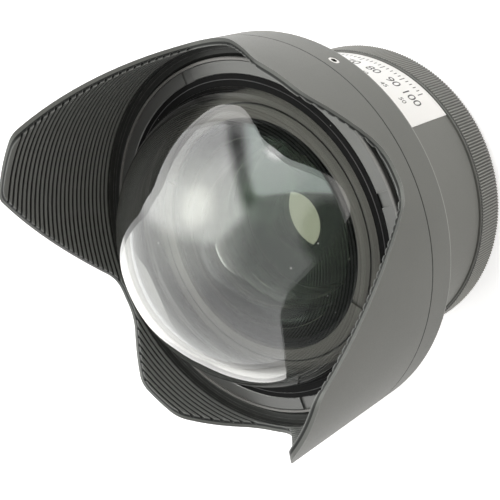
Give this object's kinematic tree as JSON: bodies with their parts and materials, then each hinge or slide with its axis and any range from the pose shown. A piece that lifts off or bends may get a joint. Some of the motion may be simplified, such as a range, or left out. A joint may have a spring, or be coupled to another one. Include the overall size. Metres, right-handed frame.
{
  "type": "wide-angle conversion lens",
  "caption": "Round wet-mount wide-angle conversion lens with a domed front glass, a turning petal hood, a knurled coupling ring and a rear mounting thread.",
  "frame": {"origin": "centre of the end of the rear mounting thread, which the lens stands on", "axes": "+Z along the optical axis, from the mounting thread to the dome; the long hood petals are at +Y and -Y and the short ones at +X and -X"},
  "size_m": [0.15, 0.15, 0.1396],
  "materials": {
    "hood_metal": "satin grey hard anodising",
    "barrel_metal": "satin grey hard anodising",
    "knurled_metal": "grey anodised straight knurl",
    "front_ring_metal": "dark grey anodising",
    "seat_ring_metal": "brown black anodising",
    "black_metal": "matt black anodising",
    "screw_steel": "bright stainless steel",
    "slippery_plastic": "low friction plastic",
    "label_film": "white satin film",
    "seal_rubber": "soft black rubber",
    "dome_glass": "polished, anti-reflection coated",
    "inner_glass": "polished, green tinted coating",
    "rear_glass": "polished, anti-reflection coated"
  },
  "bodies": {
    "lens_body": {"barrel": "barrel_metal", "front_ring": "front_ring_metal", "dome_seat_ring": "seat_ring_metal", "coupling_retainer": "black_metal", "rear_flange": "black_metal", "rear_lock_ring": "black_metal", "doublet_ring": "black_metal", "aperture_stop": "black_metal", "front_cell": "black_metal", "second_ring": "black_metal", "third_ring": "black_metal", "retainer_screws": "screw_steel", "flange_screws": "screw_steel", "friction_ring": "slippery_plastic", "label_plate": "label_film", "flange_o_ring": "seal_rubber", "rear_o_ring": "seal_rubber", "dome_gasket": "seal_rubber", "dome_element": "dome_glass", "second_element": "inner_glass", "third_element": "inner_glass", "doublet_positive": "inner_glass", "doublet_negative": "inner_glass", "rear_element": "rear_glass"},
    "coupling": {"coupling_ring": "knurled_metal", "thread_adapter": "black_metal", "adapter_screws": "screw_steel"},
    "hood": {"hood_ring": "hood_metal", "hood_shade": "hood_metal", "set_screws": "screw_steel"}
  },
  "joints": [
    {"name": "hood_turn", "type": "hinge", "parent": "lens_body", "child": "hood", "pos_m": [0, 0, 0.0739], "axis": [0, 0, 1], "continuous": true},
    {"name": "coupling_turn", "type": "hinge", "parent": "lens_body", "child": "coupling", "pos_m": [0, 0, 0.0114], "axis": [0, 0, 1], "continuous": true}
  ]
}
